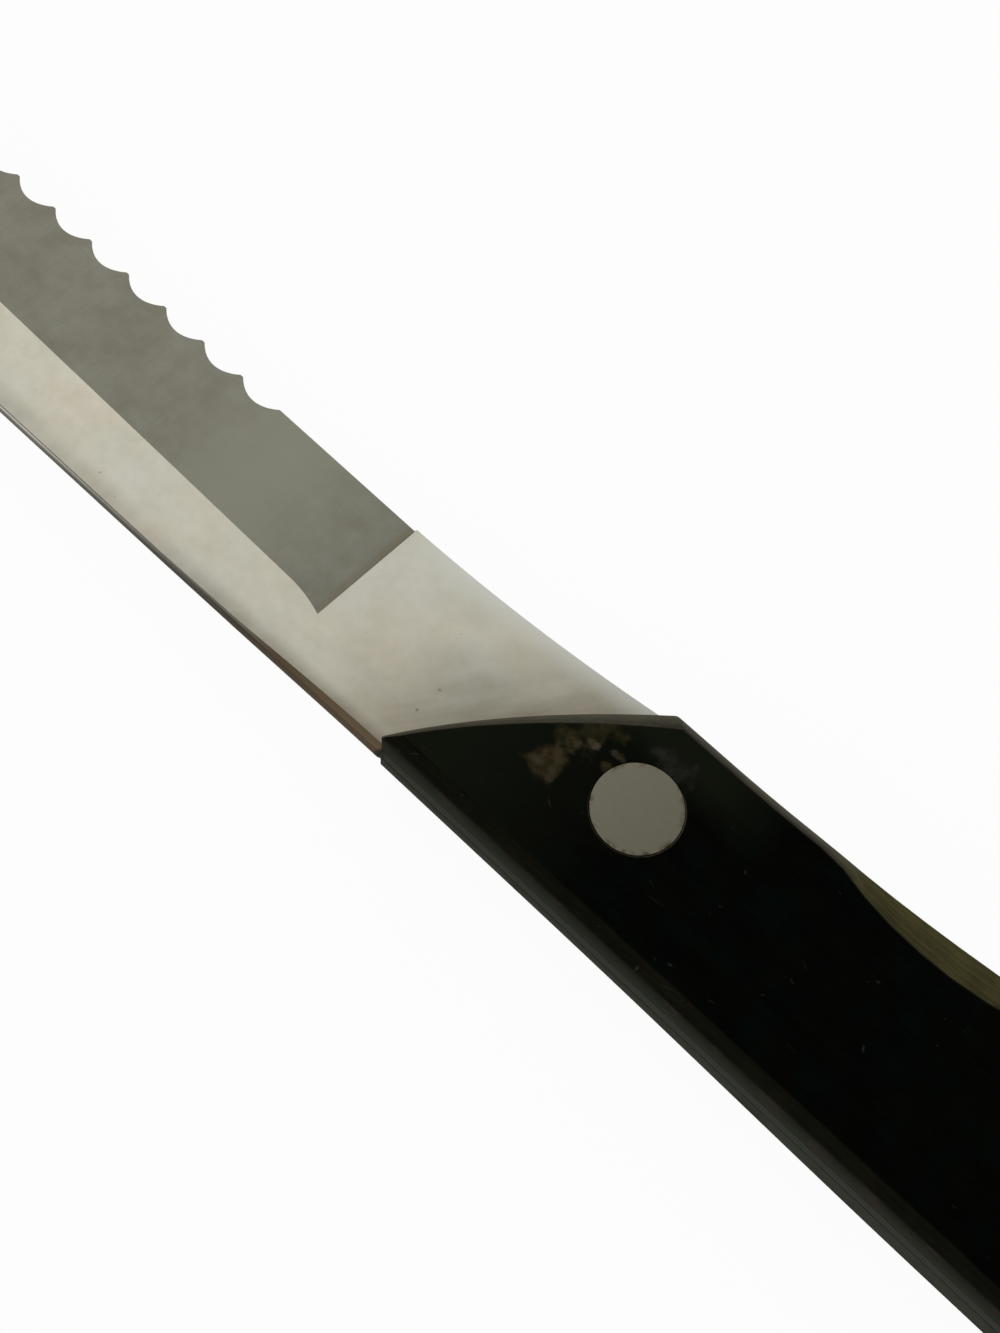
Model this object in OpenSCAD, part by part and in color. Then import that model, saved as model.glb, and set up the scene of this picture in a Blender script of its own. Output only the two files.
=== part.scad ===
// Serrated kitchen knife: a ground steel blade with a full tang between two wooden
// scales, held by three two-part compression rivets. The knife lies on its left scale.
// +X runs from the tip to the butt, +Y from the spine to the cutting edge, and +Z out
// of the right-hand face. The origin is on the outer face of the left scale, on the
// rivet line, halfway between the front and the middle rivet.

/* [Blade] */
// Blade length, from the tip to the front of the scales on the rivet line
blade_length = 203; // [150:1:260]
// Blade height at the heel, from spine to cutting edge
blade_height = 17.8; // [16:0.1:24]
// How much the spine rises away from the heel toward the tip
spine_spread = 1.4; // [0:0.1:3]
// How much the cutting edge drops away from the heel toward the tip
edge_spread = 1.3; // [0:0.1:3]
// Thickness of the steel in the tang and the ricasso
steel_thickness = 2.1; // [1.6:0.1:3]
// Thickness of the spine near the tip
tip_thickness = 1.2; // [0.9:0.1:1.6]
// Thickness left at the cutting edge
edge_thickness = 0.3; // [0.2:0.05:0.5]
// Width of the ground bevel at the heel, from the cutting edge to the grind line
grind_width = 11.6; // [9:0.1:13]
// How much narrower the bevel is at the tip
grind_taper = 2.2; // [0:0.1:3]
// How far the grind line drops toward the spine where the wheel ran out at the heel
heel_flare = 0.7; // [0.1:0.1:1.2]
// Length of that drop
heel_run = 4.5; // [3:0.5:8]
// Rounding of the spine's corners where the hand meets the ricasso
spine_rounding = 0.85; // [0.3:0.05:0.9]
// Length over which that rounding fades out toward the point
rounding_run = 26; // [15:1:40]
// Length of the curve that brings the spine down to the point
tip_spine_run = 46; // [30:1:60]
// Length of the curve that brings the cutting edge up to the point
tip_edge_run = 34; // [25:1:45]
// How far the point lies inward of the cutting edge's line
tip_rise = 7; // [4:0.5:9]
// Height of the blunted point
tip_blunt = 0.9; // [0.5:0.1:1.5]

/* [Teeth] */
// Distance from one tooth to the next
tooth_pitch = 5.34; // [4:0.02:8]
// Depth of a scallop, measured on the face that shows
tooth_depth = 1.3; // [0.8:0.05:1.6]
// Width of the blunt top left on each tooth
tooth_flat = 0.35; // [0.2:0.05:0.6]
// Angle between a scallop's ground facet and the blade's plane, in degrees
tooth_angle = 25; // [18:1:35]
// Plain cutting edge between the last tooth and the ricasso
plain_edge = 17.6; // [10:0.1:30]
// Bare edge left between the first tooth and the point
tip_bare_edge = 7; // [5:0.5:12]

/* [Ricasso] */
// Length of the full-thickness steel between the grind and the scales
ricasso_length = 20.5; // [16:0.1:30]
// How far the ricasso stands out from the scales, at the spine and at the belly
ricasso_stand = 0.4; // [0.1:0.05:0.8]
// Step from the cutting edge's line in to the ricasso's belly
ricasso_step = 0.1; // [0.05:0.05:0.5]
// Radius of the sweep from the ricasso's belly out to the handle
ricasso_radius = 205; // [170:1:240]

/* [Handle] */
// Length of the scales, from their front on the rivet line to the butt
handle_length = 112; // [100:1:130]
// Height of the handle at its front, from spine to belly
handle_height = 19.15; // [18:0.05:22]
// Thickness of one scale
scale_thickness = 4.4; // [3.6:0.1:6]
// Slant of the scales' front, in degrees from square across
front_slant = 41.2; // [30:0.1:50]
// How far the front's curve stands out from a straight line
front_bulge = 0.9; // [0.3:0.1:1.5]
// How far the belly swells out at the palm
palm_swell = 3.4; // [1:0.1:5]
// Distance from the front on the rivet line to where the palm swell begins
swell_lead = 15.5; // [10:0.5:20]
// Distance from the front on the rivet line to the crown of the palm swell
swell_reach = 68; // [60:1:85]
// How far the belly hooks out again at the butt
butt_hook = 1.4; // [0.5:0.1:2.5]
// How far the spine side drops at the butt
butt_drop = 1.6; // [0.5:0.1:3]
// Radius of the butt's two corners
butt_radius = 6.5; // [4:0.1:8]
// Height of the bevel round the scales' outer face
bevel_height = 1.05; // [0.6:0.05:1.8]
// Width of that bevel, seen from above
bevel_width = 1.05; // [0.6:0.05:2]
// Extra width of the belly bevel where the fingers rest
relief_width = 2.35; // [0.5:0.05:3]
// Extra height of the belly bevel at the same place
relief_depth = 0.9; // [0.2:0.1:1.2]
// Distance from the front on the rivet line to the widest place of that relief
relief_reach = 39.5; // [34:0.5:60]
// Half the length of the finger relief
relief_half_length = 13.5; // [9:0.5:18]
// Extra height of the left scale's spine bevel at the front, where the thumb lies
thumb_depth = 1.5; // [0.1:0.1:1.6]
// Distance from the front on the rivet line to where that extra height ends
thumb_reach = 54; // [40:1:70]

/* [Rivets] */
// Diameter of a rivet head
head_diameter = 8; // [6:0.1:9.5]
// Thickness of a rivet head
head_thickness = 1.1; // [0.8:0.1:1.6]
// Outer diameter of the socket half's tube
tube_diameter = 4.2; // [3.6:0.1:5]
// Diameter of the pin half's shank
pin_diameter = 2.7; // [2:0.1:3]
// Distance from the scales' front to the front rivet
rivet_setback = 12.2; // [10:0.1:15]
// Distance from the rear rivet to the butt
rear_setback = 13.8; // [12:0.1:20]
// Distance from the spine to the rivet line
rivet_drop = 10.1; // [9:0.05:11]

/* [Fits] */
// Gap round the tubes in the drilled holes
hole_clearance = 0.08; // [0.02:0.01:0.2]
// Gap round the heads in their seats
seat_clearance = 0.04; // [0.02:0.01:0.1]
// Gap between the pressed pin and its tube
press_clearance = 0.01; // [0.005:0.005:0.03]
// Free space at the ends of the pin and the tube
end_gap = 0.3; // [0.1:0.05:0.6]

/* [Hidden] */
$fn = 64;
// How far a cutting solid runs past what it cuts
overrun = 1;

// Heights above the rest face
tang_z = scale_thickness;
tang_top_z = scale_thickness + steel_thickness;
handle_thickness = 2 * scale_thickness + steel_thickness;

// Places along the knife. The rivets share out the scales' length between the setbacks
rivet_spacing = (handle_length - rivet_setback - rear_setback) / 2;
front_rivet_x = -rivet_spacing / 2;
middle_rivet_x = rivet_spacing / 2;
rear_rivet_x = middle_rivet_x + rivet_spacing;
front_x = front_rivet_x - rivet_setback;
butt_x = front_x + handle_length;
tip_x = front_x - blade_length;
plunge_x = front_x - ricasso_length;
last_tooth_x = plunge_x - plain_edge;

// Places across the knife
spine_y = -rivet_drop;
belly_y = spine_y + handle_height;
ricasso_spine_y = spine_y - ricasso_stand;
edge_y = ricasso_spine_y + blade_height;
point_y = edge_y + edge_spread - tip_rise;
bowed_spine_y = ricasso_spine_y - spine_spread;

// The scales' front line crosses the rivet line at front_x, and its curve bulges forward
rivet_line_share = rivet_drop / handle_height;
front_spine_x = front_x - rivet_drop * tan(front_slant) + front_bow(rivet_line_share);
front_belly_x = front_spine_x + handle_height * tan(front_slant);
function front_bow(share) = 4 * front_bulge / cos(front_slant) * share * (1 - share);

// A value held between 0 and 1, a smooth step between two places, and a mix of two values
function clamped(v) = min(1, max(0, v));
function ramp(a, b, x) = (1 - cos(180 * clamped((x - a) / (b - a)))) / 2;
function mix(a, b, share) = a + (b - a) * share;

// The handle's belly: level at the front, a long swell, and a hook at the butt
swell_start_x = front_x + swell_lead;
swell_x = front_x + swell_reach;
hook_start_share = 0.35;
swell_fade_share = 0.3;
hook_start_x = mix(swell_x, butt_x, hook_start_share);
function belly(x) =
    belly_y
    + palm_swell * (ramp(swell_start_x, swell_x, x) - swell_fade_share * ramp(swell_x, butt_x, x))
    + butt_hook * ramp(hook_start_x, butt_x, x);
function handle_spine(x) = spine_y - butt_drop * ramp(swell_x, butt_x, x);

// The butt's corners are quarter circles: the outline is drawn in near the end
function corner_inset(x) =
    butt_radius * (1 - cos(asin(clamped((x - butt_x) / butt_radius + 1))));
function outline_belly(x) = belly(x) - corner_inset(x);
function outline_spine(x) = handle_spine(x) + corner_inset(x);

// How far along the blade a place lies, from the heel (0) to the tip (1)
function toward_tip(x) = clamped((plunge_x - x) / (plunge_x - tip_x));

// The blade's outline: a straight spine bows down to the point, and the cutting edge
// curves up to meet it. The ricasso's belly sweeps out to the handle on one arc.
function spine_line(x) =
    mix(bowed_spine_y, ricasso_spine_y, clamped((x - tip_x) / (front_spine_x - tip_x)));
function blade_spine(x) =
    let (run = clamped((x - tip_x) / tip_spine_run))
    mix(point_y - tip_blunt, spine_line(x), sqrt(1 - pow(1 - run, 2)));
function blade_edge(x) =
    edge_y + edge_spread * toward_tip(x) - tip_rise * pow(1 - clamped((x - tip_x) / tip_edge_run), 2);
function edge_slope(x) =
    2 * tip_rise / tip_edge_run * (1 - clamped((x - tip_x) / tip_edge_run))
    - edge_spread / (plunge_x - tip_x);
ricasso_belly_y = edge_y - ricasso_step;
flare = max(0, belly_y + ricasso_stand - ricasso_belly_y);
flare_x = front_belly_x - sqrt(2 * ricasso_radius * flare);
function ricasso_belly(x) = ricasso_belly_y + pow(max(0, x - flare_x), 2) / (2 * ricasso_radius);

// Stations along the handle lie closer together at both ends, and those along the blade
// closer together at the point and at the heel. The steel steps in to the tang, and up
// from the bevel to the ricasso, over a short run.
handle_steps = 44;
blade_steps = 36;
heel_steps = 6;
plunge_run = 0.4;
ricasso_steps = 12;
across_steps = 12;
function along(i) = (1 - cos(180 * i / handle_steps)) / 2;
function spine_station(i) = mix(front_spine_x, butt_x, along(i));
function belly_station(i) = mix(front_belly_x, butt_x, along(i));
function tang_station(i) = mix(front_belly_x + plunge_run, butt_x, along(i));
function blade_station(i) = mix(tip_x, plunge_x - heel_run, pow(i / blade_steps, 2));

// Half the steel's thickness, tapered from the ricasso to the point
function half_steel(x) = mix(steel_thickness, tip_thickness, toward_tip(x)) / 2;
// The grind line draws slowly nearer to the edge, until the blade grows narrow. At the
// heel it drops toward the spine.
grind_share = 0.8;
function bevel_reach(x) =
    grind_width - grind_taper * toward_tip(x)
    + heel_flare * pow(clamped(1 - (plunge_x - x) / heel_run), 2);
function grind_line(x) =
    max(blade_edge(x) - bevel_reach(x), mix(blade_edge(x), blade_spine(x), grind_share));
// The spine's corners are rounded most where the hand meets the ricasso
corner_share = 0.15;
function spine_round(x) =
    spine_rounding * mix(corner_share, 1, ramp(front_spine_x - rounding_run, front_spine_x, x));

// Closes a grid of rings, each a list of as many points, into one solid
module loft(rings) {
    n = len(rings[0]);
    last = (len(rings) - 1) * n;
    sides = [for (i = [0 : len(rings) - 2]) for (j = [0 : n - 1])
        let (a = i * n + j, b = i * n + (j + 1) % n)
        each [[a, b, a + n], [b, b + n, a + n]]];
    ends = [[for (j = [n - 1 : -1 : 0]) j], [for (j = [0 : n - 1]) last + j]];
    polyhedron(points = [for (ring = rings) for (p = ring) p], faces = concat(sides, ends));
}

// One ring of the steel's cross-section at x, from the spine round by the far face. The
// bevel runs from the grind line to the edge; without a bevel both are as thick.
function steel_ring(x, spine, round_off, grind, edge, half, edge_half) =
    let (s = round_off * (1 - sqrt(1 / 2)))
    [for (p = [[spine, half - round_off], [spine, round_off - half], [spine + s, s - half],
               [spine + round_off, -half], [grind, -half], [edge, -edge_half],
               [edge, edge_half], [grind, half], [spine + round_off, half], [spine + s, half - s]])
        [x, p[0], p[1]]];
function blade_ring(x) =
    steel_ring(x, blade_spine(x), spine_round(x), grind_line(x), blade_edge(x),
               half_steel(x), edge_thickness / 2);
function plain_ring(x, spine, round_off, belly) =
    steel_ring(x, spine, round_off, mix(spine, belly, grind_share), belly,
               steel_thickness / 2, steel_thickness / 2);

// The steel from the point to the butt: bevelled blade, ricasso with its spine rounded
// for the finger, and the tang between the scales with its corners only eased
module steel_blank() {
    eased = spine_rounding * corner_share;
    loft(concat(
        [for (i = [0 : blade_steps]) blade_ring(blade_station(i))],
        [for (i = [1 : heel_steps]) blade_ring(mix(plunge_x - heel_run, plunge_x, i / heel_steps))],
        [for (i = [0 : ricasso_steps])
            let (x = mix(plunge_x + plunge_run, front_spine_x, i / ricasso_steps))
            plain_ring(x, spine_line(x), spine_round(x), ricasso_belly(x))],
        [for (i = [0 : ricasso_steps])
            let (x = mix(front_spine_x + plunge_run, front_belly_x, i / ricasso_steps))
            plain_ring(x, spine_y, eased, ricasso_belly(x))],
        [for (i = [0 : handle_steps])
            let (x = tang_station(i)) plain_ring(x, outline_spine(x), eased, outline_belly(x))]));
}

// A scallop is ground from the far side by a round wheel: a cylinder that leans out of
// the blade's plane, with the radius that gives the named pitch and depth
module scallop(pitch) {
    half_chord = (pitch - tooth_flat) / 2;
    rise = tooth_depth * sin(tooth_angle);
    wheel = (pow(half_chord, 2) + pow(rise, 2)) / (2 * rise);
    reach = wheel / sin(tooth_angle);
    translate([0, reach - tooth_depth, edge_thickness / 2])
        rotate([tooth_angle - 90, 0, 0])
            cylinder(r = wheel, h = 4 * reach, center = true);
}

tooth_count = floor((last_tooth_x - tip_x - tip_bare_edge) / tooth_pitch);
module scallops() {
    for (i = [0 : tooth_count - 1]) {
        x = last_tooth_x - (i + 1 / 2) * tooth_pitch;
        translate([x, blade_edge(x), 0])
            rotate([0, 0, atan(edge_slope(x))]) scallop(tooth_pitch);
    }
}

rivet_places = [front_rivet_x, middle_rivet_x, rear_rivet_x];
hole_diameter = tube_diameter + 2 * hole_clearance;
seat_diameter = head_diameter + 2 * seat_clearance;

module blade() {
    color("#b9b7a6")
    translate([0, 0, tang_z + steel_thickness / 2])
    difference() {
        steel_blank();
        scallops();
        for (x = rivet_places) translate([x, 0, 0])
            cylinder(d = hole_diameter, h = 2 * steel_thickness, center = true);
    }
}

// Places on a scale, u from its spine (0) to its belly (1), at one station. The walls
// stand on the tang's outline, and the outer face lies inside them by the bevel.
bevel_run = bevel_width / cos(front_slant);
function relief(x) =
    max(0, 1 - pow((x - front_x - relief_reach) / relief_half_length, 2));
function belly_bevel(x) = bevel_width + relief_width * relief(x);
function belly_wall(x) = scale_thickness - bevel_height - relief_depth * relief(x);
function scale_x(i, u) =
    mix(spine_station(i), belly_station(i), u) - front_bow(u) * (1 - along(i));
function wall_point(i, u, z) =
    [scale_x(i, u), mix(outline_spine(spine_station(i)), outline_belly(belly_station(i)), u), z];
function face_point(i, u) =
    [scale_x(i, u) + mix(bevel_run, -bevel_width, along(i)),
     mix(outline_spine(spine_station(i)) + bevel_width,
         outline_belly(belly_station(i)) - belly_bevel(belly_station(i)), u),
     scale_thickness];
// At the spine the wall may be lower by a given depth, most at the front
thumb_fade = 4;
function thumb_drop(x, depth) =
    depth * (1 - ramp(front_x + rivet_setback, front_x + thumb_reach, x));
function wall_height(i, u, depth) =
    mix(scale_thickness - bevel_height, belly_wall(belly_station(i)), u)
    - thumb_drop(spine_station(i), depth) * pow(1 - u, thumb_fade);

// A scale as one closed grid: at each station the seat from spine to belly, then the
// belly wall's top, the face from belly to spine, and the spine wall's top
module scale_block(depth) {
    k = across_steps;
    n = 2 * k + 4;
    ring = function (i) concat(
        [for (j = [0 : k]) wall_point(i, j / k, 0)],
        [wall_point(i, 1, wall_height(i, 1, depth))],
        [for (j = [k : -1 : 0]) face_point(i, j / k)],
        [wall_point(i, 0, wall_height(i, 0, depth))]);
    lips = [for (i = [0, handle_steps]) for (j = [1 : k - 1])
        wall_point(i, j / k, wall_height(i, j / k, depth))];
    lip_start = (handle_steps + 1) * n;
    // Point numbers at an end (0 front, 1 butt): seat, wall top and face at place j
    seat = function (e, j) e * handle_steps * n + j;
    top = function (e, j)
        j == 0 ? e * handle_steps * n + n - 1
        : j == k ? e * handle_steps * n + k + 1
        : lip_start + e * (k - 1) + j - 1;
    face = function (e, j) e * handle_steps * n + n - 2 - j;
    // A four-sided patch as two triangles, turned over at the butt
    patch = function (e, a, b, c, d)
        e == 0 ? [[a, b, c], [a, c, d]] : [[c, b, a], [d, c, a]];
    sides = [for (i = [0 : handle_steps - 1]) for (j = [0 : n - 1])
        let (a = i * n + j, b = i * n + (j + 1) % n)
        each [[a, b, a + n], [b, b + n, a + n]]];
    ends = [for (e = [0, 1]) for (j = [0 : k - 1])
        each concat(patch(e, seat(e, j), top(e, j), top(e, j + 1), seat(e, j + 1)),
                    patch(e, top(e, j), face(e, j), face(e, j + 1), top(e, j + 1)))];
    polyhedron(points = concat([for (i = [0 : handle_steps]) each ring(i)], lips),
               faces = concat(sides, ends));
}

// A drilled scale, seat down: a hole for each tube and a flat-bottomed seat for each head
module drilled_scale(depth) {
    difference() {
        scale_block(depth);
        for (x = rivet_places) translate([x, 0, 0]) {
            cylinder(d = hole_diameter, h = 4 * scale_thickness, center = true);
            translate([0, 0, scale_thickness - head_thickness])
                cylinder(d = seat_diameter, h = head_thickness + overrun);
        }
    }
}

module right_scale() {
    color("#17150f") translate([0, 0, tang_top_z]) drilled_scale(0);
}

module left_scale() {
    color("#17150f") translate([0, 0, tang_z]) mirror([0, 0, 1]) drilled_scale(thumb_depth);
}

// The pin half: a flush head on the right face, and a shank with a bevelled nose
shank_length = handle_thickness - 2 * head_thickness - end_gap;
nose_share = 0.15;
nose = pin_diameter * nose_share;
module rivet_pin(x) {
    color("#8f8e84")
    translate([x, 0, handle_thickness]) mirror([0, 0, 1]) {
        cylinder(d = head_diameter, h = head_thickness);
        cylinder(d = pin_diameter, h = head_thickness + shank_length - nose);
        translate([0, 0, head_thickness + shank_length - nose])
            cylinder(d1 = pin_diameter, d2 = pin_diameter - 2 * nose, h = nose);
    }
}

// The socket half: a flush head on the left face, and a tube that takes the pin
module rivet_socket(x) {
    color("#8f8e84")
    translate([x, 0, 0])
    difference() {
        union() {
            cylinder(d = head_diameter, h = head_thickness);
            cylinder(d = tube_diameter, h = handle_thickness - head_thickness - end_gap);
        }
        translate([0, 0, head_thickness])
            cylinder(d = pin_diameter + 2 * press_clearance, h = handle_thickness);
    }
}

module front_rivet_pin() rivet_pin(front_rivet_x);
module front_rivet_socket() rivet_socket(front_rivet_x);
module middle_rivet_pin() rivet_pin(middle_rivet_x);
module middle_rivet_socket() rivet_socket(middle_rivet_x);
module rear_rivet_pin() rivet_pin(rear_rivet_x);
module rear_rivet_socket() rivet_socket(rear_rivet_x);

blade();
right_scale();
left_scale();
front_rivet_pin();
front_rivet_socket();
middle_rivet_pin();
middle_rivet_socket();
rear_rivet_pin();
rear_rivet_socket();
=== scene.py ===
# %% [markdown]
# # A serrated slicing knife with riveted wooden scales
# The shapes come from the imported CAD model, so this lesson is about looks: a camera,
# a pale floor, soft light, and a procedural material for each real finish. The CAD frame
# is loaded first, because everything else is placed by it.

# %% Load the CAD frame
import math

import bpy
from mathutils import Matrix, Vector

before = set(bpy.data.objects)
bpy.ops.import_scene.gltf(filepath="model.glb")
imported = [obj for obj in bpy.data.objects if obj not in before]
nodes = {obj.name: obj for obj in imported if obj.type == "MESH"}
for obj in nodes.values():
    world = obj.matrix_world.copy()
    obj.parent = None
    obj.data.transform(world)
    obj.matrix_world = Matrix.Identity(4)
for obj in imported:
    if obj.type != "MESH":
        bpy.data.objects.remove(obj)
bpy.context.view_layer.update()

print("CAD nodes:", ", ".join(sorted(nodes)))

# %% [markdown]
# ## The camera
# The knife was photographed from close by, from the spine side, so the blade runs away
# from the lens and grows smaller. A camera is a place, a turn and a lens. The turn is
# written as three angles, and the lens as a focal length on a 36 mm sensor, which
# Blender lays along the longer side of the picture.

# %% Place the camera
camera_data = bpy.data.cameras.new("camera")
camera_data.lens = 43.21
camera_data.sensor_width = 36
camera_data.clip_start = 0.005
camera = bpy.data.objects.new("camera", camera_data)
camera.location = (-0.00958, -0.04218, 0.13686)
camera.rotation_euler = [math.radians(a) for a in (22.106, -3.978, 43.147)]
bpy.context.scene.collection.objects.link(camera)
bpy.context.scene.camera = camera
print(f"camera {camera.location.length * 1000:.0f} mm away, {camera_data.lens:.1f} mm lens")

# %% [markdown]
# ## Helpers
# Colours are written as the hex values that a picture editor shows. Those are sRGB
# values, and Blender mixes light in linear values, so one function converts them.
#
# Another function adds a shader node with its settings and its links in one line, which
# keeps each material short enough to read. Most inputs go by their number:
#
# - Map Range reads its value from input 0. The range from input 1 to input 2 becomes the
#   range from input 3 to input 4, which are 0 and 1 where they aren't given.
# - Mix takes the share of its second part from input 0. Numbers go into inputs 2 and 3,
#   colours into inputs 6 and 7.
# - Math and Vector Math count their inputs in the order of the sum.

# %% Colour and node helpers
SMOOTH = {"interpolation_type": "SMOOTHSTEP"}
COLOURS = {"data_type": "RGBA"}


def linear(hex_colour):
    """'#rrggbb' in sRGB as a linear colour with alpha 1."""
    channels = [int(hex_colour[i : i + 2], 16) / 255 for i in (1, 3, 5)]
    return [c / 12.92 if c <= 0.04045 else ((c + 0.055) / 1.055) ** 2.4 for c in channels] + [1.0]


def connect(tree, node, links):
    """Links a node's inputs, each from a socket or from the first live output of a node."""
    for name, source in links.items():
        if not isinstance(source, bpy.types.NodeSocket):
            source = next(output for output in source.outputs if output.enabled)
        tree.links.new(source, node.inputs[name])


def add_node(tree, kind, settings=None, links=None):
    """A new shader node. A setting is an input, by number or name, or a property."""
    node = tree.nodes.new("ShaderNode" + kind)
    for name, value in (settings or {}).items():
        if isinstance(name, int) or name in node.inputs:
            node.inputs[name].default_value = value
        else:
            setattr(node, name, value)
    connect(tree, node, links or {})
    return node


def combine(tree, operation, *sources):
    """Several values made one by a Math operation, point by point."""
    total = sources[0]
    for source in sources[1:]:
        total = add_node(tree, "Math", {"operation": operation}, {0: total, 1: source})
    return total


def new_material(name):
    """An empty material with its Principled shader, as (material, tree, shader)."""
    material = bpy.data.materials.new(name)
    material.use_nodes = True
    return material, material.node_tree, material.node_tree.nodes["Principled BSDF"]


print("mid grey #808080 is", [round(c, 3) for c in linear("#808080")])

# %% [markdown]
# ## The floor
# A studio sweep would do, but a plain white sheet is enough, because the camera looks
# down and sees nothing else. The sheet is matt. To the camera and in reflections it is
# mostly plain white, as paper is when it is lit well, and the rest is real shading, so
# the knife's soft shadow stays.

# %% Lay the floor
half_width, drop = 3.0, 0.00005
floor_corners = [
    (x * half_width, y * half_width, -drop) for x, y in ((-1, -1), (1, -1), (1, 1), (-1, 1))
]
floor_mesh = bpy.data.meshes.new("floor")
floor_mesh.from_pydata(floor_corners, [], [(0, 1, 2, 3)])
floor = bpy.data.objects.new("floor", floor_mesh)
bpy.context.scene.collection.objects.link(floor)

paper, tree, shader = new_material("matt_white_paper")
tree.nodes.remove(shader)
ray = add_node(tree, "LightPath").outputs
seen = combine(
    tree, "MAXIMUM", ray["Is Camera Ray"], ray["Is Glossy Ray"], ray["Is Transmission Ray"]
)
plain_share = add_node(tree, "Math", {"operation": "MULTIPLY", 1: 0.95}, {0: seen})
matt = add_node(tree, "BsdfDiffuse", {"Color": linear("#f4f3f1")})
plain = add_node(tree, "Emission", {"Color": (1, 1, 1, 1), "Strength": 1.0})
sheet = add_node(tree, "MixShader", {}, {0: plain_share, 1: matt, 2: plain})
connect(tree, tree.nodes["Material Output"], {"Surface": sheet})
floor_mesh.materials.append(paper)
print("floor", 2 * half_width, "m wide")

# %% [markdown]
# ## The light
# Metal shows what stands round it. In the photograph the blade is bright all along, so it
# looks into a wide pale light, while the rivet, which faces the lens, looks up into a dim
# spot overhead. So the room is bright at the horizon and falls off evenly towards the
# zenith, and one large lamp stands beyond the tip. A smaller one fills the spine side.
# Together they are about as bright as a white room, so each colour renders about as it is
# written.

# %% Light the room
world = bpy.data.worlds.new("room")
bpy.context.scene.world = world
world.use_nodes = True
tree = world.node_tree
background = tree.nodes["Background"]
background.inputs["Color"].default_value = linear("#fffefb")
direction = add_node(tree, "TexCoord").outputs["Generated"]
height = add_node(tree, "SeparateXYZ", {}, {0: direction}).outputs["Z"]
radiance = add_node(tree, "MapRange", {1: 0.3, 2: 0.97, 3: 1.25, 4: 0.1}, {0: height})
connect(tree, background, {"Strength": radiance})


def softbox(name, place, target, width, height, radiance):
    """Adds a rectangular lamp whose face is as bright as a surface of that radiance."""
    data = bpy.data.lights.new(name, "AREA")
    data.shape = "RECTANGLE"
    data.size, data.size_y = width, height
    data.energy = radiance * math.pi * width * height
    lamp = bpy.data.objects.new(name, data)
    lamp.location = place
    lamp.rotation_euler = (Vector(target) - Vector(place)).to_track_quat("-Z", "Y").to_euler()
    bpy.context.scene.collection.objects.link(lamp)


softbox("lamp_beyond_tip", (-0.5, 0.32, 0.96), (-0.06, 0, 0), 0.8, 0.8, 0.94)
softbox("lamp_spine_side", (0.3, -1.1, 0.5), (0, 0, 0), 1.0, 0.5, 1.2)
bpy.context.scene.view_settings.view_transform = "Standard"

# %% [markdown]
# ## Soft edges
# No real edge is perfectly sharp: grinding and handling leave a small radius that
# catches the light. A Bevel modifier gives that without touching the CAD mesh. The CAD
# mesh comes with its facets apart, so a Weld modifier joins them first. Its flats are cut
# into long thin triangles, which a bevel can fold over into dark lines, so a Decimate
# modifier joins the triangles that lie in one plane. A Weighted Normal modifier keeps
# the flats flat and the curves smooth.

# %% Round the edges
def soften(node_name, radius_mm, angle_deg, segments=2):
    """Adds the four modifiers to a CAD node."""
    thing = nodes[node_name]
    for polygon in thing.data.polygons:
        polygon.use_smooth = True
    weld = thing.modifiers.new("weld", "WELD")
    weld.merge_threshold = 0.000002
    planes = thing.modifiers.new("whole planes", "DECIMATE")
    planes.decimate_type = "DISSOLVE"
    planes.angle_limit = math.radians(0.1)
    bevel = thing.modifiers.new("edge radius", "BEVEL")
    bevel.width = radius_mm / 1000
    bevel.segments = segments
    bevel.limit_method = "ANGLE"
    bevel.angle_limit = math.radians(angle_deg)
    bevel.harden_normals = True
    normals = thing.modifiers.new("flat faces", "WEIGHTED_NORMAL")
    normals.keep_sharp = True


soften("blade", 0.12, 30)
for name in ("right_scale", "left_scale"):
    soften(name, 0.2, 25, 3)
for name in nodes:
    if "rivet" in name:
        soften(name, 0.03, 40)
print("edges softened on", len(nodes), "nodes")

# %% [markdown]
# ## Blade steel
# The blade is stainless steel with three finishes. The wide bevel was ground matt, with
# fine lines across the blade. The flat and the ricasso were polished along the blade, and
# age has clouded them; a painted highlight lies along the ricasso's belly. The spine was
# left as it was blanked and is dull. Its brown at the heel is a painted reflection, and a
# painted highlight lies on its upper half towards the tip. Painted brown shade lies over
# its corner, and grime with painted shade lies along the front of the scales. Steel is a
# metal, so its colour is the colour of its reflection, and the finish is in the roughness.
# The painted brown of the spine and its corner, and the tang's edge, lower Metallic.
#
# The finishes could be split into materials on chosen faces, but the CAD mesh stays as it
# is. So they are told apart by where the surface faces, which is how the grinder made
# them, and by their place. Places are measured in millimetres: X runs from the tip to the
# butt, Y from the spine to the edge, Z up from the floor, and the rivets stand on Y = 0.
# The front of the scales slants, so the distance from it is measured square to it.

# %% Steel: where each finish lies
INTO_HANDLE = (0.752, -0.66)
STEEL_GOES_UNDER = (-24.6, -24.2)


def measure(tree):
    """Each point's place on the knife in millimetres, as a vector and as X, Y and Z."""
    point = add_node(tree, "TexCoord").outputs["Object"]
    mm = add_node(tree, "VectorMath", {"operation": "SCALE", "Scale": 1000.0}, {0: point})
    return mm, add_node(tree, "SeparateXYZ", {}, {0: mm}).outputs


steel, tree, shader = new_material("ground_and_polished_stainless_steel")
mm, place = measure(tree)
normal = add_node(tree, "NewGeometry").outputs["True Normal"]
faces = add_node(tree, "SeparateXYZ", {}, {0: normal}).outputs
lean = add_node(tree, "Math", {"operation": "ABSOLUTE"}, {0: faces["Y"]})
ground = add_node(tree, "MapRange", {1: 0.015, 2: 0.035}, {0: lean})
plunge = add_node(tree, "MapRange", {1: 0.3, 2: 0.6}, {0: faces["X"]})

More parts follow.
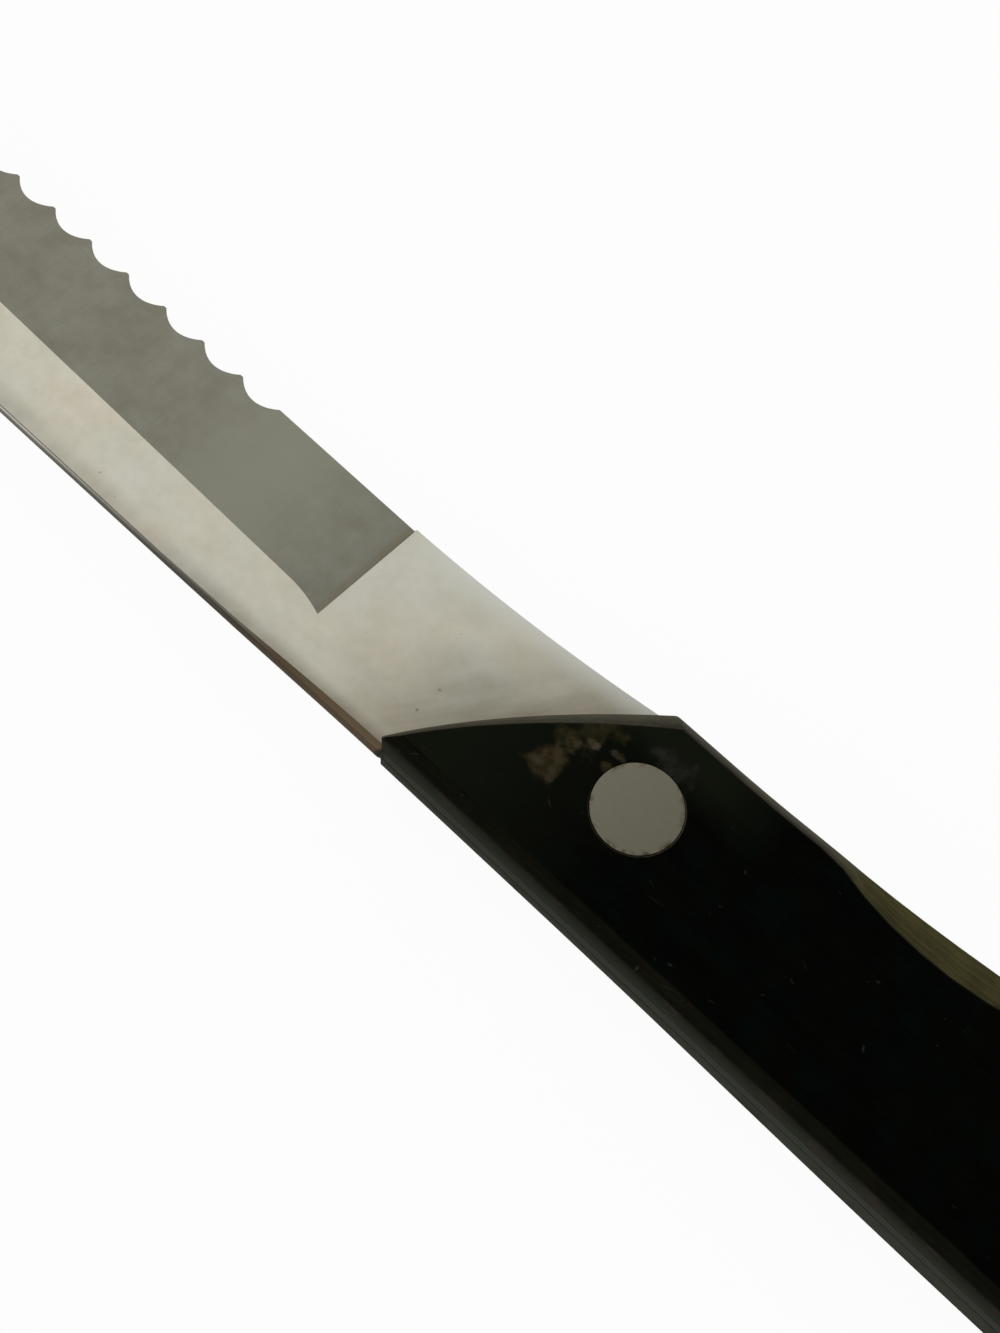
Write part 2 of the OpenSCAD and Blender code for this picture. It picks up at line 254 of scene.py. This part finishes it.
# How far each point lies from the origin along the direction into the handle
front = add_node(tree, "Math", {"operation": "MULTIPLY", 1: INTO_HANDLE[1]}, {0: place["Y"]})
front = add_node(
    tree, "Math", {"operation": "MULTIPLY_ADD", 1: INTO_HANDLE[0]}, {0: place["X"], 2: front}
)
under_from, under_to = STEEL_GOES_UNDER
tang = add_node(tree, "MapRange", {1: under_from, 2: under_to}, {0: front})
print("steel zones: flat, bevel, plunge, tang")

# %% [markdown]
# ### The polished flat
# The flat was polished along the blade, and years of use have left clouds of 2 to 3 mm on
# it, some warm and some cool. They could be painted on an image, but noise measured in
# millimetres needs no unwrapping and is sharp from any distance. So one noise makes light
# and dark, and a wider one mixes warm and cool. The peaks of a third are specks of dirt
# under half a millimetre, and two specks that stand alone are placed by their distance.

# %% Steel: the polished flat
FLAT_Z = 6.5
clouds = add_node(
    tree, "TexNoise", {"Scale": 0.4, "Detail": 5.0, "Roughness": 0.6}, {"Vector": mm}
)
tint = add_node(tree, "TexNoise", {"Scale": 0.12, "Detail": 3.0}, {"Vector": mm})
flat_tone = add_node(tree, "MapRange", {1: 0.32, 2: 0.68}, {0: clouds})
flat_tint = add_node(tree, "MapRange", {1: 0.4, 2: 0.6}, {0: tint})
cool_pair = {6: linear("#b0afa1"), 7: linear("#bdbcb0")}
warm_pair = {6: linear("#b1ac9c"), 7: linear("#c0bbac")}
cool = add_node(tree, "Mix", {**COLOURS, **cool_pair}, {0: flat_tone})
warm = add_node(tree, "Mix", {**COLOURS, **warm_pair}, {0: flat_tone})
flat_colour = add_node(tree, "Mix", COLOURS, {0: flat_tint, 6: cool, 7: warm})
dirt = add_node(tree, "TexNoise", {"Scale": 1.4, "Detail": 2.0, "Roughness": 0.5}, {"Vector": mm})
specks = add_node(tree, "MapRange", {1: 0.72, 2: 0.8, 4: 0.45}, {0: dirt})
for x, y in ((-41.5, -2.6), (-41.6, -5.3)):
    far = add_node(tree, "VectorMath", {"operation": "DISTANCE", 1: (x, y, FLAT_Z)}, {0: mm})
    speck = add_node(tree, "MapRange", {1: 0.22, 2: 0.1, 4: 0.7}, {0: far})
    specks = combine(tree, "MAXIMUM", specks, speck)
flat_colour = add_node(
    tree, "Mix", {**COLOURS, 7: linear("#7b7263")}, {0: specks, 6: flat_colour}
)
print("clouds 2.5 mm, specks under 0.5 mm")

# %% [markdown]
# ### Grime and painted shade, a painted highlight and polishing lines
# Next to the scales the steel darkens in soft bands along their front, which is grime and
# painted shade. It is worst in the middle of the ricasso, 2.5 mm to the spine side of the
# rivet line. The bands are a noise that changes fast square to the front and slowly in
# other directions. A painted highlight lies along the last 2 mm of the ricasso's belly.
# Its outline is an arc, so the distance from the arc's centre tells how near it is.

# %% Steel: grime and painted shade before the scales
later = add_node(tree, "Math", {"operation": "MULTIPLY_ADD", 1: 0.16}, {0: place["Y"], 2: front})
aside = add_node(tree, "Math", {"operation": "ADD", 1: 2.5}, {0: place["Y"]})
aside = add_node(tree, "Math", {"operation": "ABSOLUTE"}, {0: aside})
aside = add_node(tree, "MapRange", {1: 3.5, 2: 6.0, 4: -2.0}, {0: aside})
later = combine(tree, "ADD", later, aside)
near = add_node(tree, "MapRange", {**SMOOTH, 1: -37.0, 2: -23.0}, {0: later})
shrunk = add_node(tree, "VectorMath", {"operation": "MULTIPLY", 1: (0.28, 0.28, 0.28)}, {0: mm})
front_only = add_node(tree, "CombineXYZ", {}, {0: front})
band_at = add_node(tree, "VectorMath", {"operation": "ADD"}, {0: shrunk, 1: front_only})
bands = add_node(
    tree, "TexNoise", {"Scale": 0.5, "Detail": 3.0, "Roughness": 0.55}, {"Vector": band_at}
)
band_tone = add_node(tree, "MapRange", {1: 0.3, 2: 0.7, 3: 0.66, 4: 0.98}, {0: bands})
# Grime and painted shade: soft darker bands along the front of the scales
grime_and_shade = combine(tree, "MULTIPLY", near, band_tone)
flat_grime_and_painted_light = add_node(tree, "Mix", {**COLOURS, 7: linear("#706a58")}, {0: grime_and_shade, 6: flat_colour})
print("grime over the last 12 mm before the scales")

# %% Steel: the painted highlight on the ricasso's belly, and the polishing lines
# Painted highlight along the last 2 mm of the ricasso's belly, brighter towards its edge
arc_centre = (-55.0, 212.2, FLAT_Z)
arc = add_node(tree, "VectorMath", {"operation": "DISTANCE", 1: arc_centre}, {0: mm})
painted_belly_highlight = add_node(tree, "MapRange", {**SMOOTH, 1: 207.6, 2: 204.4, 4: 0.95}, {0: arc})
ricasso = add_node(tree, "MapRange", {1: -53.5, 2: -49.0}, {0: place["X"]})
painted_belly_highlight = combine(tree, "MULTIPLY", painted_belly_highlight, ricasso)
flat_grime_and_painted_light = add_node(tree, "Mix", {**COLOURS, 7: linear("#c1c2bb")}, {0: painted_belly_highlight, 6: flat_grime_and_painted_light})

along = add_node(tree, "VectorMath", {"operation": "MULTIPLY", 1: (0.05, 6.0, 6.0)}, {0: mm})
polishing = add_node(tree, "TexNoise", {"Scale": 1.0, "Detail": 2.0}, {"Vector": along})
print("rubbed band 2 mm wide, polishing lines 0.17 mm apart")

# %% [markdown]
# ### The ground bevel
# The bevel was ground across the blade and left matt. The real lines are finer than a
# pixel, so modelling them would be lost work. A noise squeezed along the blade draws them
# 0.2 mm apart, coarse enough to show. A painted highlight makes the middle of the heel
# half paler. The last half millimetre before the plunge is a little darker and browner,
# and the foot of the plunge has a brown line. Each of these is laid over the one before.

# %% Steel: the ground bevel
PLUNGE_X = -54.5
across = add_node(tree, "VectorMath", {"operation": "MULTIPLY", 1: (5.0, 0.12, 0.12)}, {0: mm})
grinding = add_node(tree, "TexNoise", {"Scale": 1.0, "Detail": 2.0}, {"Vector": across})
ground_mix = add_node(
    tree, "Math", {"operation": "MULTIPLY_ADD", 1: 0.3}, {0: grinding, 2: clouds}
)
ground_tone = add_node(tree, "MapRange", {1: 0.45, 2: 0.85}, {0: ground_mix})
ground_pair = {6: linear("#7a796c"), 7: linear("#868579")}
bevel_colour = add_node(tree, "Mix", {**COLOURS, **ground_pair}, {0: ground_tone})
# Painted highlight: the middle of the bevel's heel half is paler
off_middle = add_node(tree, "Math", {"operation": "ADD", 1: 68.0}, {0: place["X"]})
off_middle = add_node(tree, "Math", {"operation": "ABSOLUTE"}, {0: off_middle})
painted_bevel_highlight = add_node(tree, "MapRange", {**SMOOTH, 1: 12.0, 2: 0.0, 4: 0.8}, {0: off_middle})
# The last half millimetre before the plunge is a little darker and browner, and the plunge face
# is brown
darker_before_plunge = add_node(tree, "MapRange", {1: PLUNGE_X - 0.6, 2: PLUNGE_X, 4: 0.55}, {0: place["X"]})
for share, hex_colour in ((painted_bevel_highlight, "#8b8b7e"), (darker_before_plunge, "#78705f"), (plunge, "#5b5143")):
    bevel_colour = add_node(
        tree, "Mix", {**COLOURS, 7: linear(hex_colour)}, {0: share, 6: bevel_colour}
    )
tone = add_node(tree, "Mix", COLOURS, {0: ground, 6: flat_grime_and_painted_light, 7: bevel_colour})
print("grinding lines 0.2 mm apart")

# %% [markdown]
# ### The brown spine and the tang
# The spine was left as it was blanked. Its brown is a painted reflection of a brown
# surface beside the knife. At the heel all of it is brown, rounding and all, and painted
# brown shade spreads a millimetre over the corner. Towards the tip the rounding was
# polished with the flat, and a painted highlight brightens the upper half, so only a dull
# foot is left. The edge of the tang, between the scales, is dark grey. Where two of these
# meet, the stronger one wins, so they are joined by their maximum and never add up to
# more than a full share.

# %% Steel: the spine
# Painted reflection: the spine's brown stands for a brown surface mirrored in it
side = add_node(tree, "MapRange", {**SMOOTH, 1: -0.5, 2: -0.8}, {0: faces["Y"]})
rounding = add_node(tree, "MapRange", {**SMOOTH, 1: -0.1, 2: -0.35}, {0: faces["Y"]})
at_heel = add_node(tree, "MapRange", {1: -60.0, 2: -54.0}, {0: place["X"]})
rounding = combine(tree, "MULTIPLY", rounding, at_heel)
spine = combine(tree, "MAXIMUM", side, rounding)
# Painted highlight: the upper half of the spine is pale towards the tip
bright_part = add_node(tree, "MapRange", {1: 5.5, 2: FLAT_Z, 3: 0.28, 4: 1.0}, {0: place["Z"]})
bright_end = add_node(tree, "MapRange", {1: -59.0, 2: -86.0, 4: 0.95}, {0: place["X"]})
painted_spine_highlight = combine(tree, "MULTIPLY", bright_part, bright_end, side)
tone = add_node(tree, "Mix", {**COLOURS, 7: linear("#e2e0d2")}, {0: painted_spine_highlight, 6: tone})
dull_part = add_node(tree, "Math", {"operation": "SUBTRACT", 0: 1.0}, {1: painted_spine_highlight})
spine = combine(tree, "MULTIPLY", spine, dull_part)
print("spine: brown at the heel, a dull foot towards the tip")

# %% Steel: the painted shade on the corner, and the tang
# Painted shade: brown over the spine's corner, stronger towards the heel
corner = add_node(tree, "MapRange", {**SMOOTH, 1: -8.4, 2: -10.4}, {0: place["Y"]})
corner_shade_reach = add_node(tree, "MapRange", {1: -72.0, 2: -46.0, 3: 0.15, 4: 0.55}, {0: place["X"]})
painted_corner_shade = combine(tree, "MULTIPLY", corner, corner_shade_reach, band_tone)
brown = combine(tree, "MAXIMUM", painted_corner_shade, spine)
# The spine's painted reflection: brown at the heel, darker where it faces the spine side
# squarely, and dark towards the tip
spine_wall = add_node(tree, "MapRange", {1: -0.5, 2: -1.0}, {0: faces["Y"]})
heel_pair = {6: linear("#6c5d49"), 7: linear("#4c4032")}
heel_tone = add_node(tree, "Mix", {**COLOURS, **heel_pair}, {0: spine_wall})
heel = add_node(tree, "MapRange", {**SMOOTH, 1: -70.0, 2: -44.0}, {0: place["X"]})
spine_tone = add_node(tree, "Mix", {**COLOURS, 6: linear("#2f2922")}, {0: heel, 7: heel_tone})
brown_tone = add_node(tree, "Mix", {**COLOURS, 7: linear("#211f19")}, {0: tang, 6: spine_tone})
colour = add_node(tree, "Mix", COLOURS, {0: brown, 6: tone, 7: brown_tone})
# The tang's edge between the scales is dark grey
edge_of_tang = combine(tree, "MULTIPLY", tang, ground)
colour = add_node(tree, "Mix", {**COLOURS, 7: linear("#262820")}, {0: edge_of_tang, 6: colour})
print("brown spreads from 2.2 mm inside the spine, most at the heel")

# %% [markdown]
# ### The gloss of the steel
# Clean steel is all metal, the painted brown of the spine and its corner is mostly not,
# and the dark edge of the tang is not at all. The flat is smooth, the bevel rougher, and
# the brown and the tang's edge roughest. The lines of the wheel and of the polish are far
# too shallow to model, so they only tilt the light through a Bump node.

# %% Steel: metal, roughness and lines
dull = combine(tree, "MAXIMUM", brown, edge_of_tang)
metal = add_node(tree, "MapRange", {3: 1.0, 4: 0.3}, {0: dull})
clean = add_node(tree, "Math", {"operation": "SUBTRACT", 0: 1.0}, {1: tang})
metal = combine(tree, "MINIMUM", metal, clean)
rough = add_node(tree, "MapRange", {3: 0.26, 4: 0.4}, {0: clouds})
rough = add_node(tree, "Mix", {3: 0.5}, {0: ground, 2: rough})
rough = add_node(tree, "Mix", {3: 0.7}, {0: dull, 2: rough})
lines = add_node(tree, "Mix", {}, {0: ground, 2: polishing, 3: grinding})
bump = add_node(tree, "Bump", {"Strength": 0.25, "Distance": 0.00001}, {"Height": lines})
shader.inputs["Specular IOR Level"].default_value = 0.03
connect(
    tree, shader, {"Base Color": colour, "Metallic": metal, "Roughness": rough, "Normal": bump}
)
print("steel:", len(tree.nodes), "nodes")

# %% [markdown]
# ## Scale wood
# The scales are resin-impregnated laminated wood: thin plies dyed black, pressed with
# resin and polished. The faces are nearly black, with a greenish haze along the front and
# the belly side. Where a bevel cuts the plies on a slant, brown and olive layers show as
# soft streaks along the handle, most of all in the finger relief, and on the bevels
# handling has worn the black to a taupe. The dye has also gone in small brown patches
# near the front rivet. Wood under resin is a dielectric with an IOR near 1.5. Long use
# has dulled it, so the specular level is low.
#
# Grain and plies could be a photograph of wood, but then each bevel would need its own
# unwrapping. A solid pattern cuts right on every surface: the grain is a noise stretched
# along the handle, and the plies are a sine wave through the thickness, made wavy by the
# grain.

# %% Wood: grain and plies
wood, tree, shader = new_material("black_resin_impregnated_laminated_wood")
shader.inputs["IOR"].default_value = 1.5
shader.inputs["Specular IOR Level"].default_value = 0.02
mm, place = measure(tree)
stretched = add_node(tree, "VectorMath", {"operation": "MULTIPLY", 1: (0.07, 0.8, 1.0)}, {0: mm})
grain = add_node(
    tree, "TexNoise", {"Scale": 1.6, "Detail": 5.0, "Roughness": 0.6}, {"Vector": stretched}
)
ply_thickness = 0.5
ply_phase = add_node(
    tree, "Math", {"operation": "MULTIPLY_ADD", 1: 1.6}, {0: grain, 2: place["Z"]}
)
ply_wave = add_node(
    tree, "Math", {"operation": "MULTIPLY", 1: 2 * math.pi / ply_thickness}, {0: ply_phase}
)
plies = add_node(tree, "Math", {"operation": "SINE"}, {0: ply_wave})
blotches = add_node(
    tree, "TexNoise", {"Scale": 0.35, "Detail": 4.0, "Roughness": 0.6}, {"Vector": mm}
)
ply_mix = add_node(tree, "Math", {"operation": "MULTIPLY_ADD", 1: 0.12}, {0: plies, 2: blotches})
ply_tone = add_node(tree, "MapRange", {1: 0.3, 2: 0.7}, {0: ply_mix})
print("plies", ply_thickness, "mm thick")

# %% [markdown]
# ### Where the bevels lie
# A bevel was cut on a belt, so what sets it apart is where it faces. The lip is the
# slanted front of a scale, which faces the tip. The belly side's bevel was worn most, and
# the part of it within 14 mm of the middle of the finger relief is the relief itself.
# These shares come from the rounded normal, so the colours blend over the soft edges.

# %% Wood: where the bevels lie
RELIEF_X = 5.8
normal = add_node(tree, "NewGeometry").outputs["Normal"]
faces = add_node(tree, "SeparateXYZ", {}, {0: normal}).outputs
up = add_node(tree, "Math", {"operation": "ABSOLUTE"}, {0: faces["Z"]})
slanted = add_node(tree, "MapRange", {1: 0.98, 2: 0.9}, {0: up})
lip = add_node(tree, "MapRange", {1: -0.2, 2: -0.45}, {0: faces["X"]})
steep = add_node(tree, "MapRange", {1: 0.45, 2: 0.15}, {0: up})
upright = add_node(
    tree, "Math", {"operation": "SUBTRACT", "use_clamp": True}, {0: steep, 1: lip}
)
belly_side = add_node(tree, "MapRange", {1: 0.2, 2: 0.4}, {0: faces["Y"]})
worn_side = combine(tree, "MAXIMUM", lip, belly_side)
worn_bevel = combine(tree, "MULTIPLY", worn_side, slanted)
reach = add_node(tree, "Math", {"operation": "SUBTRACT", 1: RELIEF_X}, {0: place["X"]})
reach = add_node(tree, "Math", {"operation": "ABSOLUTE"}, {0: reach})
in_relief = add_node(tree, "MapRange", {**SMOOTH, 1: 14.5, 2: 9.0}, {0: reach})
relief = combine(tree, "MULTIPLY", in_relief, belly_side, slanted)
print("bevels: lip, belly side, finger relief, upright sides")

# %% [markdown]
# ### A colour for each surface
# Dyed wood is never one black: it is mottled, here greenish and there brownish, and hazy
# where hands have dulled the resin, towards the front, and towards the belly side as far
# as the relief. The worn bevels are paler towards their outer edge, which lies nearer the
# middle plane of the knife; that paler rim is a painted highlight. The upright sides are
# greyer towards the rest face, which is a painted sheen, with a brownish cloud here and
# there. Each surface has a pair of colours and a tone that chooses between them, and the
# surfaces are then laid over the black one by one.

# %% Wood: the black faces and the brown bevel
tint = add_node(tree, "TexNoise", {"Scale": 0.3, "Detail": 3.0}, {"Vector": mm})
tint_tone = add_node(tree, "MapRange", {1: 0.42, 2: 0.58}, {0: tint})
green_pair = {6: linear("#000100"), 7: linear("#010603")}
brown_pair = {6: linear("#010100"), 7: linear("#040402")}
green_black = add_node(tree, "Mix", {**COLOURS, **green_pair}, {0: ply_tone})
brown_black = add_node(tree, "Mix", {**COLOURS, **brown_pair}, {0: ply_tone})
black = add_node(tree, "Mix", COLOURS, {0: tint_tone, 6: green_black, 7: brown_black})

front_haze = add_node(tree, "MapRange", {1: -20.0, 2: -36.0, 4: 0.75}, {0: place["X"]})
belly_haze = add_node(tree, "MapRange", {1: 2.6, 2: 5.8, 4: 0.8}, {0: place["Y"]})
before_relief = add_node(tree, "MapRange", {1: -11.0, 2: -18.0}, {0: place["X"]})
belly_haze = combine(tree, "MULTIPLY", belly_haze, before_relief)
haze = combine(tree, "MAXIMUM", front_haze, belly_haze)
black = add_node(tree, "Mix", {**COLOURS, 7: linear("#14170e")}, {0: haze, 6: black})
bevel_pair = {6: linear("#060602"), 7: linear("#0f0e06")}
brown = add_node(tree, "Mix", {**COLOURS, **bevel_pair}, {0: ply_tone})
print("face black, spine side's bevel brown")

# %% Wood: the worn bevels and the relief
MIDDLE_Z = 5.45
depth = add_node(tree, "Math", {"operation": "SUBTRACT", 1: MIDDLE_Z}, {0: place["Z"]})
depth = add_node(tree, "Math", {"operation": "ABSOLUTE"}, {0: depth})
# Painted highlight: the worn bevels are paler towards their outer rim
bevel_rim_highlight = add_node(tree, "MapRange", {1: 5.4, 2: 4.4}, {0: depth})
front_edge = add_node(tree, "MapRange", {3: 0.0, 4: 0.38}, {0: lip})
pale_edge = combine(tree, "MAXIMUM", bevel_rim_highlight, front_edge)
pale_edge = add_node(
    tree, "Math", {"operation": "MULTIPLY_ADD", 1: 0.25}, {0: ply_tone, 2: pale_edge}
)
taupe_pair = {6: linear("#1e1c14"), 7: linear("#4f4c40")}
taupe = add_node(tree, "Mix", {**COLOURS, **taupe_pair}, {0: pale_edge})
relief_edge = add_node(tree, "MapRange", {1: 5.4, 2: 3.0, 4: 0.6}, {0: depth})
olive_tone = add_node(
    tree, "Math", {"operation": "MULTIPLY_ADD", 1: 0.5}, {0: ply_tone, 2: relief_edge}
)
olive_pair = {6: linear("#2b2817"), 7: linear("#4c4729")}
olive = add_node(tree, "Mix", {**COLOURS, **olive_pair}, {0: olive_tone})
print("front and belly side's bevel taupe, relief olive")

# %% Wood: the upright sides, and all surfaces together
# Painted sheen: the upright sides are greyer towards the rest face
painted_wall_sheen = add_node(tree, "MapRange", {1: 9.5, 2: 3.0}, {0: place["Z"]})
wall_pair = {6: linear("#15170f"), 7: linear("#353831")}
wall = add_node(tree, "Mix", {**COLOURS, **wall_pair}, {0: painted_wall_sheen})
wall_tint = add_node(tree, "MapRange", {1: 0.5, 2: 0.66, 4: 0.6}, {0: tint})
wall = add_node(tree, "Mix", {**COLOURS, 7: linear("#2d2621")}, {0: wall_tint, 6: wall})
colour = black
for share, surface in (
    (slanted, brown), (worn_bevel, taupe), (relief, olive), (upright, wall)
):
    colour = add_node(tree, "Mix", COLOURS, {0: share, 6: colour, 7: surface})
print("upright sides grey")

# %% [markdown]
# ### Worn patches
# Near the front rivet the dye has worn off in patches of brown, olive, pale and grey. A
# round spot is a distance from its centre, and a noise added to that distance makes it
# ragged, as worn dye is. The largest patch has four corners. Each of its sides is a
# direction out of it and how far out that side lies, and a point is inside where it is
# within all four. Only the top of the right face is worn.

# %% Wood: a ragged spot
FACE_Z = 10.9
wobble = add_node(
    tree, "TexNoise", {"Scale": 0.9, "Detail": 3.0, "Roughness": 0.55}, {"Vector": mm}
)


def spot(x, y, half_x, half_y, strength):
    """A soft uneven spot on the right face, placed and sized in millimetres."""
    apart = add_node(tree, "VectorMath", {"operation": "SUBTRACT", 1: (x, y, FACE_Z)}, {0: mm})
    size = (1 / half_x, 1 / half_y, 0.8)
    shape = add_node(tree, "VectorMath", {"operation": "MULTIPLY", 1: size}, {0: apart})
    far = add_node(tree, "VectorMath", {"operation": "LENGTH"}, {0: shape})
    edge = add_node(tree, "Math", {"operation": "MULTIPLY_ADD", 1: 3.2}, {0: wobble, 2: far})
    return add_node(tree, "MapRange", {**SMOOTH, 1: 3.1, 2: 2.0, 4: strength}, {0: edge})


print("spots are ragged by a noise of about 1 mm")

# %% Wood: the patch with four corners
corners = [Vector(c) for c in ((-31.5, -3.3), (-28.1, -3.8), (-28.3, -0.8), (-30.1, -0.3))]
sides = []
for a, b in zip(corners, corners[1:] + corners[:1]):
    out = Vector(((b - a).y, (a - b).x)).normalized()
    way_out = (out.x, out.y, 0.0)
    far = add_node(tree, "VectorMath", {"operation": "DOT_PRODUCT", 1: way_out}, {0: mm})
    sides.append(add_node(tree, "Math", {"operation": "SUBTRACT", 1: out.dot(a)}, {0: far}))
edge = combine(tree, "MAXIMUM", *sides)
edge = add_node(tree, "Math", {"operation": "MULTIPLY_ADD", 1: 1.4}, {0: wobble, 2: edge})
patch = add_node(tree, "MapRange", {**SMOOTH, 1: 1.0, 2: 0.3, 4: 0.9}, {0: edge})
print("patch with", len(corners), "corners")

# %% Wood: all patches
# Each spot has its place, its two half widths and its strength
olive_spots = [
    spot(-29.6, 0.9, 1.3, 1.2, 0.55), spot(-28.5, 2.2, 1.3, 1.2, 0.6),
    spot(-27.9, 3.8, 1.25, 1.1, 0.75),
]
brown_spots = [
    patch, spot(-28.8, 0.6, 1.1, 0.75, 0.8), spot(-29.9, 1.1, 0.7, 0.6, 0.5),
    spot(-25.6, 1.0, 0.5, 0.4, 0.6),
]
pale_spots = [
    spot(-27.8, 1.7, 0.8, 0.35, 0.9), spot(-25.5, 2.3, 0.8, 0.3, 0.5),
    spot(-30.5, -2.85, 0.5, 0.35, 0.5), spot(-28.5, -3.4, 0.45, 0.4, 0.5),
]
grey_spots = [spot(-21.8, 4.9, 1.7, 1.1, 0.8)]
on_top = add_node(tree, "MapRange", {1: 10.6, 2: 10.85}, {0: place["Z"]})
shade = add_node(tree, "TexNoise", {"Scale": 1.1, "Detail": 2.0}, {"Vector": mm})
shade_tone = add_node(tree, "MapRange", {1: 0.38, 2: 0.62}, {0: shade})
for spots, dark, light in (
    (olive_spots, "#25220f", "#302d1c"),
    (brown_spots, "#2a2315", "#393321"),
    (pale_spots, "#393427", "#474336"),
    (grey_spots, "#1b1c19", "#262623"),
):
    worn = combine(tree, "MULTIPLY", combine(tree, "MAXIMUM", *spots), on_top)
    bare = add_node(tree, "Mix", {**COLOURS, 6: linear(dark), 7: linear(light)}, {0: shade_tone})
    colour = add_node(tree, "Mix", COLOURS, {0: worn, 6: colour, 7: bare})
print("olive, brown, pale and grey patches near the front rivet")

# %% [markdown]
# ### Scratches, gloss and grain
# A used handle has fine scratches and dust. Single strokes could be drawn one by one, but
# a Voronoi pattern scatters them: it is stretched and bent, and one cell in five holds a
# short pale stroke at its centre. The grain makes the gloss uneven and lifts the surface
# a little. The upright sides were never polished, so they are almost matt.

# %% Wood: scratches and dust
bend = add_node(tree, "TexNoise", {"Scale": 0.2, "Detail": 1.0}, {"Vector": mm}).outputs["Color"]
bent = add_node(
    tree, "VectorMath", {"operation": "MULTIPLY_ADD", 1: (9.0, 9.0, 0.0)}, {0: bend, 2: mm}
)
turn = {"Rotation": (0.0, 0.0, 0.6), "Scale": (0.5, 1.9, 0.3)}
turned = add_node(tree, "Mapping", turn, {"Vector": bent})
cells = add_node(tree, "TexVoronoi", {"Scale": 1.0}, {"Vector": turned}).outputs
chance = add_node(tree, "SeparateColor", {}, {0: cells["Color"]})
thin = add_node(tree, "MapRange", {1: 0.2, 2: 0.04}, {0: cells["Distance"]})
some = add_node(tree, "MapRange", {1: 0.8, 2: 1.0, 4: 0.35}, {0: chance})
scratch = combine(tree, "MULTIPLY", thin, some)
colour = add_node(tree, "Mix", {**COLOURS, 7: linear("#4a4b44")}, {0: scratch, 6: colour})
print("one cell in five holds a scratch")

# %% Wood: gloss and grain
rough = add_node(tree, "MapRange", {1: 0.3, 2: 0.7, 3: 0.42, 4: 0.58}, {0: grain})
rough = add_node(tree, "Mix", {3: 0.9}, {0: upright, 2: rough})
bump = add_node(tree, "Bump", {"Strength": 0.3, "Distance": 0.00002}, {"Height": grain})
connect(tree, shader, {"Base Color": colour, "Roughness": rough, "Normal": bump})
print("wood:", len(tree.nodes), "nodes")

# %% [markdown]
# ## Rivet metal
# Knife makers use nickel silver or stainless steel rivets. The heads were ground flush
# with the scales, so they have a fine satin finish. Here and there brown grime sits at
# the rim, where the metal meets the wood. The rim is found by the distance from the
# rivet's own axis, which repeats along the knife with the pitch of the rivets.

# %% Rivet material
RIVET_PITCH = 43.0
rivet, tree, shader = new_material("satin_nickel_silver")
shader.inputs["Metallic"].default_value = 1.0
mm, place = measure(tree)
fine = add_node(tree, "VectorMath", {"operation": "MULTIPLY", 1: (0.6, 4.0, 1.0)}, {0: mm})
satin = add_node(tree, "TexNoise", {"Scale": 1.5, "Detail": 3.0}, {"Vector": fine})
stain = add_node(tree, "TexNoise", {"Scale": 0.9, "Detail": 4.0}, {"Vector": mm})
satin_pair = {6: linear("#716f60"), 7: linear("#7e7b6c")}
tone = add_node(tree, "Mix", {**COLOURS, **satin_pair}, {0: satin})

repeat = {"operation": "WRAP", 1: 0.0, 2: -RIVET_PITCH}
own_x = add_node(tree, "Math", repeat, {0: place["X"]})
own_x = add_node(tree, "Math", {"operation": "ADD", 1: RIVET_PITCH / 2}, {0: own_x})
off_axis = add_node(tree, "CombineXYZ", {}, {0: own_x, 1: place["Y"]})
radius = add_node(tree, "VectorMath", {"operation": "LENGTH"}, {0: off_axis})
rim = add_node(tree, "MapRange", {**SMOOTH, 1: 3.5, 2: 3.98}, {0: radius})
patchy = add_node(tree, "MapRange", {1: 0.47, 2: 0.6, 4: 0.85}, {0: stain})
rim_grime = combine(tree, "MULTIPLY", rim, patchy)
stray_grime = add_node(tree, "MapRange", {1: 0.68, 2: 0.78, 4: 0.3}, {0: stain})
grime_and_shade = combine(tree, "MAXIMUM", rim_grime, stray_grime)
colour = add_node(tree, "Mix", {**COLOURS, 7: linear("#4a3d28")}, {0: grime_and_shade, 6: tone})
rough = add_node(tree, "MapRange", {3: 0.3, 4: 0.38}, {0: satin})
bump = add_node(tree, "Bump", {"Strength": 0.2, "Distance": 0.00001}, {"Height": satin})
connect(tree, shader, {"Base Color": colour, "Roughness": rough, "Normal": bump})
print("rivet metal:", len(tree.nodes), "nodes")

# %% [markdown]
# ## Dress the CAD parts
# Each CAD node takes the material of its real finish, in its first material slot.

# %% Assign the materials
for name, thing in nodes.items():
    finish = steel if name == "blade" else wood if "scale" in name else rivet
    thing.data.materials.clear()
    thing.data.materials.append(finish)
    print(name, "->", finish.name)
